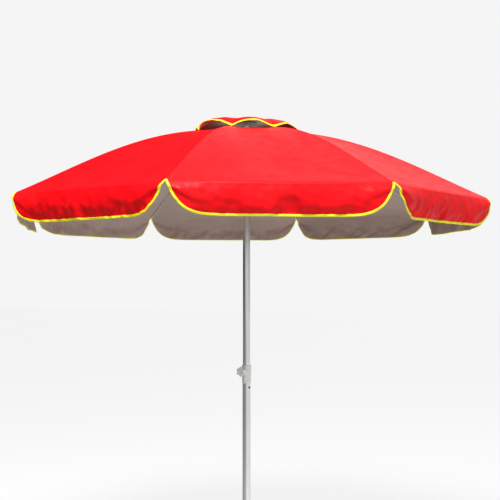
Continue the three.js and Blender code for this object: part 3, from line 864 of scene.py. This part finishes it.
def cap_binding(k):
    angle = np.linspace(-HALF, HALF, 41)
    path = np.stack([angle * CAP_RADIUS, np.full(angle.shape, CAP_RADIUS)], axis=1)
    inward = np.repeat([[0.0, -1.0]], len(angle), axis=0)
    piece = tape(f"cap_binding_{k}", lambda p, q: cap(k, p, q), path, inward, (1 / CAP_RADIUS, 1.0))
    cap_folds(piece)


# -------- ribs and stretchers
CLIP_AT, CLIP_DROP = 0.400, 0.012
EYE_OUTER, EYE_HOLE, EYE_WIDTH = 0.0042, 0.00165, 0.0048
SIDESTEP = 0.007  # a stretcher runs this far beside its rib, so that the two can cross
GROOVE = 0.00165  # half the width of a groove for a wire ring
WIRE = 0.00125
SLOT_WIDTH = 0.006


def rib_height(r):
    return crown(r) - RIB_DROP


def clip_place():
    """The clip's centre on the rib, the rib's slope there and the centre of the clip's pivot."""
    step = 0.004
    slope = math.atan2(rib_height(CLIP_AT - step) - rib_height(CLIP_AT + step), 2 * step)
    centre = Vector((CLIP_AT, 0, rib_height(CLIP_AT)))
    return centre, slope, centre - CLIP_DROP * Vector((math.sin(slope), 0, math.cos(slope)))


def across(parts, x, z):
    """Turns parts made along +X to run along +Y."""
    return placed(parts, Matrix.Translation((x, 0, z)) @ Matrix.Rotation(math.pi / 2, 4, "Z"))


def eye_parts(centre, outer, inner, width):
    """A rounded eye whose hole runs along Y."""
    turned = lathe_parts(broken_ring(inner, outer, -width / 2, width / 2, 0.0004), 40)
    return placed(turned, Matrix.Translation(centre) @ Matrix.Rotation(math.pi / 2, 4, "X"))


def rib_rod(name):
    r = np.linspace(HUB.x + 0.003, RIB_END, 60)
    path = np.stack([r, np.zeros(60), rib_height(r)], axis=1)
    rod = rod_parts(path, RIB_RADIUS)
    points, faces = joined(rod, eye_parts(HUB, EYE_OUTER, EYE_HOLE, EYE_WIDTH))
    round_it = np.arctan2(points[:, 1], points[:, 2] - rib_height(points[:, 0])) * RIB_RADIUS
    uvs = [(points[i][0], round_it[i]) for face in faces for i in face]
    return add_mesh(name, points, faces, [FIBRE], uvs=uvs)


def rib_clip(name):
    centre, slope, _ = clip_place()
    sleeve = box_parts((-0.008, -0.004, -0.0044), (0.008, 0.004, 0.0039))
    ear = box_parts((-0.0046, -0.0024, -CLIP_DROP), (0.0046, 0.0024, -0.004))
    end = across(pin_parts(-0.0024, 0.0024, 0.0046), 0, -CLIP_DROP)
    bores = [pin_parts(-0.02, 0.02, RIB_RADIUS),
             across(pin_parts(-0.01, 0.01, 0.0017), 0, -CLIP_DROP)]
    piece = moulded(solid(name, sleeve, [WHITE], adds=[ear, end], cuts=bores), 0.0004, 3)
    piece.data.transform(Matrix.Translation(centre) @ Matrix.Rotation(slope, 4, "Y"))
    return piece


def rib_tip(name):
    profile = [(0, 0.4), (2.7, 0.4), (2.7, -17.4), (3.0, -18.0), (3.5, -18.0), (3.8, -17.4), (3.8, -6),
               (3.4, -5.4), (3.4, -4.4), (3.8, -3.8), (3.8, 0.6), (3.5, 2.1), (2.6, 3.4), (1.4, 3.9), (0, 4)]
    parts = lathe_parts(in_mm(profile), 48)
    step = 0.006
    slope = math.atan2(rib_height(RIB_END - step) - rib_height(RIB_END), step)
    place = Matrix.Translation((RIB_END, 0, rib_height(RIB_END)))
    place = place @ Matrix.Rotation(math.pi / 2 + slope, 4, "Y")
    return solid(name, placed(parts, place), [WHITE])


def stretcher(name):
    pivot = clip_place()[2]
    run, rise = pivot.x - RUNNER.x, pivot.z - RUNNER.z
    length = math.hypot(run, rise)
    s = np.concatenate([np.linspace(0.003, 0.075, 25), np.linspace(0.09, length - 0.003, 30)])
    path = np.stack([s, SIDESTEP * smoothstep(s, 0.016, 0.060), np.zeros(len(s))], axis=1)
    rod = rod_parts(path, 0.0023, up=(0, 0, 1))
    inner = eye_parts(Vector(), EYE_OUTER, EYE_HOLE, EYE_WIDTH)
    outer = eye_parts(Vector((length, SIDESTEP, 0)), EYE_OUTER, EYE_HOLE, 0.004)
    turn = Matrix.Translation(RUNNER) @ Matrix.Rotation(-math.atan2(rise, run), 4, "Y")
    return solid(name, placed(joined(rod, inner, outer), turn), [PAINT])


# -------- hub and runner
def slot_cuts(inner, bottom, top):
    """A slot for each rib or stretcher, from an inner radius outwards."""
    slot_box = box_parts((inner, -SLOT_WIDTH / 2, bottom), (0.040, SLOT_WIDTH / 2, top))
    return [placed(slot_box, Matrix.Rotation(GORE * k, 4, "Z")) for k in range(RIBS)]


def lifted(piece, height):
    piece.location.z = height
    return piece


def top_hub():
    lip = HUB.x - GROOVE
    profile = [(0, 0.0026), (0.0164, 0.0026), (0.0164, -0.022), (0.0205, -0.022), (0.0205, -0.008),
               (0.031, -0.008), (0.031, -GROOVE), (lip, -GROOVE), (lip, GROOVE), (0.031, GROOVE),
               (0.031, 0.0075), (0.025, 0.012), (0.009, 0.014), (0.009, 0.038), (0, 0.038)]
    cuts = slot_cuts(HUB.x - EYE_OUTER - 0.0007, -0.009, 0.0054)
    piece = moulded(solid("notched_hub", lathe_parts(profile), [WHITE], cuts=cuts), 0.0006, 4)
    fitted(lifted(piece, HUB.z), "upper_pole", "white_plastic", "top_hub")


def wire_ring(name, radius, height, body, node):
    profile = [(radius + WIRE * math.cos(t), WIRE * math.sin(t)) for t in around(16)]
    piece = solid(name, lathe_parts(profile, 120), [STEEL])
    fitted(lifted(piece, height), body, "steel", node)


def crown_plate():
    foot, top = low("crown_cap").z, high("crown_cap").z
    profile = [(0, foot), (0.0112, foot), (0.012, foot + 0.0008), (0.012, foot + 0.0015),
               (0.0455, top - 0.0036), (0.046, top - 0.0032), (0.046, top - 0.0018),
               (0.0452, top - 0.0012), (0.034, top), (0, top)]
    piece = solid("plate_under_cap", lathe_parts(profile), [GREY_BROWN], sharp=35)
    fitted(piece, "upper_pole", "taupe_plastic", "crown_cap")


def runner_body():
    lip = RUNNER.x - GROOVE
    profile = [(0, -0.026), (0.022, -0.026), (0.022, -0.023), (0.0206, -0.021), (0.0206, -0.009),
               (0.034, -0.008), (0.034, -GROOVE), (lip, -GROOVE), (lip, GROOVE), (0.034, GROOVE),
               (0.034, 0.008), (0.021, 0.009), (0.021, 0.014), (0, 0.014)]
    bore = lathe_parts([(0, -0.03), (0.0165, -0.03), (0.0165, 0.02), (0, 0.02)])
    keyway = box_parts((0.010, -0.0037, -0.03), (0.0212, 0.0037, 0.02))
    keyway = placed(keyway, Matrix.Rotation(azimuth_of(CATCH_AXIS), 4, "Z"))
    cuts = [bore, keyway] + slot_cuts(RUNNER.x - EYE_OUTER - 0.0007, -0.0054, 0.009)
    piece = moulded(solid("runner_sleeve", lathe_parts(profile), [WHITE], cuts=cuts), 0.0006, 4)
    fitted(lifted(piece, RUNNER.z), "runner", "white_plastic", "runner_body")


# -------- pole
def tube(name, outer, body, node, hole):
    """A drawn tube with its two edges broken and a hole in its side."""
    profile = broken_ring(outer - WALL, outer, low(node).z, high(node).z, 0.0003)
    piece = solid(name, lathe_parts(profile, 128), [ALUMINIUM], cuts=[hole], sharp=30)
    fitted(piece, body, "pole_tube", node)


def side_hole(azimuth, height, reach, radius):
    """A hole from inside a tube out through one side of it."""
    place = Matrix.Translation((0, 0, height)) @ Matrix.Rotation(azimuth, 4, "Z")
    return placed(pin_parts(0.008, reach, radius), place)


def poles():
    plug = azimuth_of((low("hole_plug") + high("hole_plug")) / 2)
    tube("lower_pole_tube", LOWER_RADIUS, "lower_pole", "lower_tube",
         side_hole(plug, mid_height("hole_plug"), 0.03, 0.0043))
    tube("upper_pole_tube", UPPER_RADIUS, "upper_pole", "upper_tube",
         side_hole(azimuth_of(CATCH_AXIS), mid_height("catch_button"), 0.025, 0.0034))


def sand_spike():
    profile = [(0, 0), (2.5, 0.2), (4.4, 1.2), (5.2, 3), (9, 30), (11.2, 49), (13.5, 68), (17.2, 79.2),
               (17.5, 80.4), (17.5, 89.2), (17.2, 90), (16.2, 90), (16.1, 90.8), (16.1, 137),
               (14.6, 141.2), (13.6, 142), (0, 142)]
    piece = solid("ground_spike", lathe_parts(in_mm(profile)), [WHITE], sharp=28)
    fitted(piece, "lower_pole", "white_plastic", "sand_spike")


def turned_along(name, profile, azimuth, height, material, segments=96, cuts=(), lobes=0, lobe=0.0,
                 levels=0):
    """A piece turned about a level axis. The profile is (radius, distance out from the pole) in mm."""
    parts = lathe_parts(in_mm(profile), segments, lobes, lobe)
    parts = placed(parts, Matrix.Rotation(math.pi / 2, 4, "Y"))
    piece = solid(name, parts, [material], cuts=cuts, sharp=40)
    if levels:
        smooth = piece.modifiers.new("smooth", "SUBSURF")
        smooth.levels = smooth.render_levels = levels
        apply_modifiers(piece, 60)
    return aimed(piece, azimuth, height)


def hole_plug():
    place = (low("hole_plug") + high("hole_plug")) / 2
    profile = [(0, 16.4), (3.9, 16.4), (3.9, 17.9), (4.7, 17.9), (5, 18.1), (4.9, 18.5), (4.4, 19.0),
               (3.4, 19.35), (2.0, 19.55), (0, 19.6)]
    piece = turned_along("round_plug", profile, azimuth_of(place), place.z, DARK, 64)
    fitted(piece, "lower_pole", "dark_plastic", "hole_plug")


def collar():
    axis = azimuth_of(CLAMP_AXIS)
    lug_height = mid_height("collar_screw") - CLAMP_HEIGHT
    down = Matrix.Translation((0, 0, lug_height))
    sleeve = [(0, -52.5), (19.2, -52.5), (19.2, -26.5), (20.2, -20.5), (20.2, 22), (21, 23), (21, 26),
              (0, 26)]
    bore = [(0, -54), (17.7, -54), (17.7, -11.6), (16.2, -11.6), (16.2, 28), (0, 28)]
    sleeve, bore = (lathe_parts(in_mm(profile)) for profile in (sleeve, bore))
    adds = [pin_parts(0.010, 0.035, 0.0125), placed(pin_parts(0.010, 0.0256, 0.0052), down)]
    pocket = box_parts((0.0234, -0.007, -0.008), (0.0308, 0.007, 0.020))
    cuts = [bore, pin_parts(0.008, 0.040, 0.0044), pocket,
            placed(pin_parts(0.0226, 0.040, 0.0037), down)]
    piece = moulded(solid("clamp_collar", sleeve, [WHITE], adds=adds, cuts=cuts), 0.0006, 5)
    fitted(aimed(piece, axis, CLAMP_HEIGHT), "lower_pole", "white_plastic", "collar_body")
    cross = [box_parts((0.0240, -0.0003, -0.0018), (0.0260, 0.0003, 0.0018)),
             box_parts((0.0240, -0.0018, -0.0003), (0.0260, 0.0018, 0.0003))]
    head = [(0, 16.5), (1.5, 16.5), (1.5, 23), (2.9, 23), (3.2, 23.3), (3.15, 24.1), (2.6, 24.7),
            (1.6, 25.0), (0, 25.1)]
    screw = turned_along("pan_head_screw", head, axis, CLAMP_HEIGHT + lug_height, STEEL, 48, cross)
    fitted(screw, "lower_pole", "steel", "collar_screw")


KNOB = [  # radius and distance out from the pole's axis in mm, and the share of the lobes there
    (0, 46, 0), (4.3, 46, 0), (4.3, 36.3, 0), (7.9, 36.3, 0), (9.0, 36.6, 0), (9.2, 38.8, 0), (10, 39.3, 0),
    (14, 39.3, 0.5), (16.5, 39.6, 0.85), (17.8, 40.6, 1), (19.2, 41.3, 1), (19.5, 43, 1), (19.5, 47.5, 1),
    (18.9, 49.2, 1), (17.6, 50.0, 1), (16, 50.3, 0.9), (10.5, 50.3, 0.1), (8.6, 50.1, 0), (8.0, 49.5, 0),
    (7.9, 48, 0), (7.4, 47.8, 0), (0, 47.8, 0)]
LOBES, LOBE = 6, 0.0026


def clamp_knob():
    piece = turned_along("lobed_knob", KNOB, azimuth_of(CLAMP_AXIS), CLAMP_HEIGHT, WHITE,
                         lobes=LOBES, lobe=LOBE, levels=1)
    fitted(piece, "clamp_knob", "white_plastic", "clamp_knob")


def clamp_screw():
    """A rolled thread with a plain nose."""
    start, end, pitch, sides = 0.0165, 0.0455, 0.00125, 24
    stations = int((end - start) / pitch * 8)
    x = np.linspace(start, end, stations)
    turn = around(sides)
    ends = smoothstep(x, start, start + 0.002) * smoothstep(-x, -end, -end + 0.001)
    wave = np.cos(2 * math.pi * x[:, None] / pitch - turn[None, :])
    radius = 0.0035 + (0.0001 + 0.0003 * wave) * ends[:, None]
    xs = np.repeat(x[:, None], sides, axis=1)
    points = np.stack([xs, radius * np.cos(turn), radius * np.sin(turn)], axis=-1)
    piece = solid("threaded_screw", (points.reshape(-1, 3), ring_faces(stations, sides)), [STEEL])
    fitted(aimed(piece, azimuth_of(CLAMP_AXIS), CLAMP_HEIGHT), "clamp_screw", "steel", "clamp_screw")


def catch_button():
    profile = [(0, 12), (3.8, 12), (4.1, 12.3), (4.1, 14.2), (3.1, 14.6), (3.0, 15), (3.0, 18.4),
               (2.7, 19.2), (2.0, 19.8), (1.0, 20.1), (0, 20.2)]
    piece = turned_along("spring_button", profile, azimuth_of(CATCH_AXIS), mid_height("catch_button"),
                         STEEL, 48)
    fitted(piece, "catch_button", "steel", "catch_button")


def finish_hidden_nodes():
    """The frame's own pieces that still show inside the collar and the tube."""
    for node, material in (("clamp_nut", STEEL), ("catch_spring", STEEL), ("upper_tube_plug", DARK)):
        piece = frame["nodes"][node]
        piece.data.materials.clear()
        piece.data.materials.append(material)
        soften = piece.modifiers.new("broken_edges", "BEVEL")
        soften.width, soften.segments, soften.limit_method = 0.0002, 2, "ANGLE"


# -------- surroundings
BACKDROP = 0.913
FRONT_LIGHT, LEFT_DARK, RIGHT_DARK, BACK_LEFT_DARK = 0.80, 0.72, 0.25, 0.75
LEAST_LIGHT = 0.05
KEY_FRONT, KEY_RIGHT, KEY_UP, KEY_SIZE, KEY_POWER = 2.2, -0.4, 2.5, 1.4, 165.0


def surroundings():
    """A plain pale backdrop for the camera, and a studio's light and dark sides for everything else."""
    world = bpy.data.worlds.new("studio")
    bpy.context.scene.world = world
    world.use_nodes = True
    world.node_tree.nodes.clear()
    n = Nodes(world.node_tree)
    direction = n.add("TexCoord").outputs["Generated"]

    def towards(side, start, end, amount):
        return n.ramp(n.along(direction, side), start, end, 0.0, amount, interpolation_type="SMOOTHSTEP")

    front, right = camera_axes()
    level = n.maths("SUBTRACT", FRONT_LIGHT, towards(-right, 0.55, 0.88, LEFT_DARK))
    level = n.maths("SUBTRACT", level, towards(right, 0.40, 0.90, RIGHT_DARK))
    back_left = n.maths("MULTIPLY", towards(-right, -0.05, 0.07, BACK_LEFT_DARK),
                        towards(-front, 0.1, 0.5, 1.0))
    level = n.maths("MAXIMUM", n.maths("SUBTRACT", level, back_left), LEAST_LIGHT)
    lit = n.add("Background", {"Strength": level}).outputs[0]
    plain = n.add("Background", {"Color": (BACKDROP, BACKDROP, BACKDROP, 1)}).outputs[0]
    seen = n.add("LightPath").outputs["Is Camera Ray"]
    pick = n.add("MixShader", {0: seen, 1: lit, 2: plain})
    n.add("OutputWorld", {"Surface": pick.outputs[0]})


def area_light(name, place, target, size, energy):
    light = bpy.data.lights.new(name, "AREA")
    light.shape, light.size, light.energy = "DISK", size, energy
    lamp = bpy.data.objects.new(name, light)
    bpy.context.scene.collection.objects.link(lamp)
    lamp.location = place
    lamp.rotation_euler = (Vector(target) - Vector(place)).to_track_quat("-Z", "Y").to_euler()


def floor():
    """A wide pale floor with a gentle unevenness, under the spike's point."""
    count, size = 61, 40.0
    line = np.linspace(-1, 1, count) ** 3 * size
    x, y = np.meshgrid(line, line, indexing="ij")
    z = -0.0015 - 0.0008 * (1 + ripple(900, x, y, 1.7))
    points = np.stack([x, y, z], axis=-1).reshape(-1, 3)
    piece = add_mesh("studio_floor", points, grid_faces(count, count), [floor_material()])
    if piece.data.polygons[0].normal.z < 0:
        piece.data.flip_normals()


def studio():
    front, right = camera_axes()
    surroundings()
    centre = Vector((0, 0, TIP + 0.1))
    key = centre + KEY_FRONT * front + KEY_RIGHT * right + Vector((0, 0, KEY_UP))
    area_light("key", key, centre, KEY_SIZE, KEY_POWER)
    floor()
    bpy.context.scene.view_settings.view_transform = "Standard"
    lens = bpy.data.cameras.new("camera")
    lens.lens, lens.sensor_width = CAMERA["lens"], CAMERA["sensor"]
    camera = bpy.data.objects.new("camera", lens)
    bpy.context.scene.collection.objects.link(camera)
    camera.location = CAMERA["distance"] * front + Vector((0, 0, CAMERA["height"]))
    turn = math.radians(CAMERA["azimuth"] - CAMERA["right"])
    camera.rotation_euler = (math.pi / 2 + math.radians(CAMERA["pitch"]), 0, turn)
    bpy.context.scene.camera = camera


# -------- main
def build():
    for_each_rib(rib_rod, "rib_rod", "rib", "rib_rod", "rib")
    for_each_rib(rib_clip, "stretcher_clip", "rib", "white_plastic", "rib_clip")
    for_each_rib(rib_tip, "rod_tip", "rib", "white_plastic", "rib_tip")
    for_each_rib(stretcher, "stretcher_rod", "stretcher", "stretcher_rod", "stretcher")
    top_hub()
    wire_ring("hub_wire", HUB.x, HUB.z, "upper_pole", "hub_ring")
    crown_plate()
    runner_body()
    wire_ring("runner_wire", RUNNER.x, RUNNER.z, "runner", "runner_ring")
    poles()
    sand_spike()
    hole_plug()
    collar()
    clamp_knob()
    clamp_screw()
    catch_button()
    finish_hidden_nodes()
    for k in range(1, RIBS + 1):
        for name in BANDS:
            canopy_band(name, k)
        edge_binding(k)
        vent_hem(k)
        vent_cap(k)
        cap_binding(k)
    studio()


build()
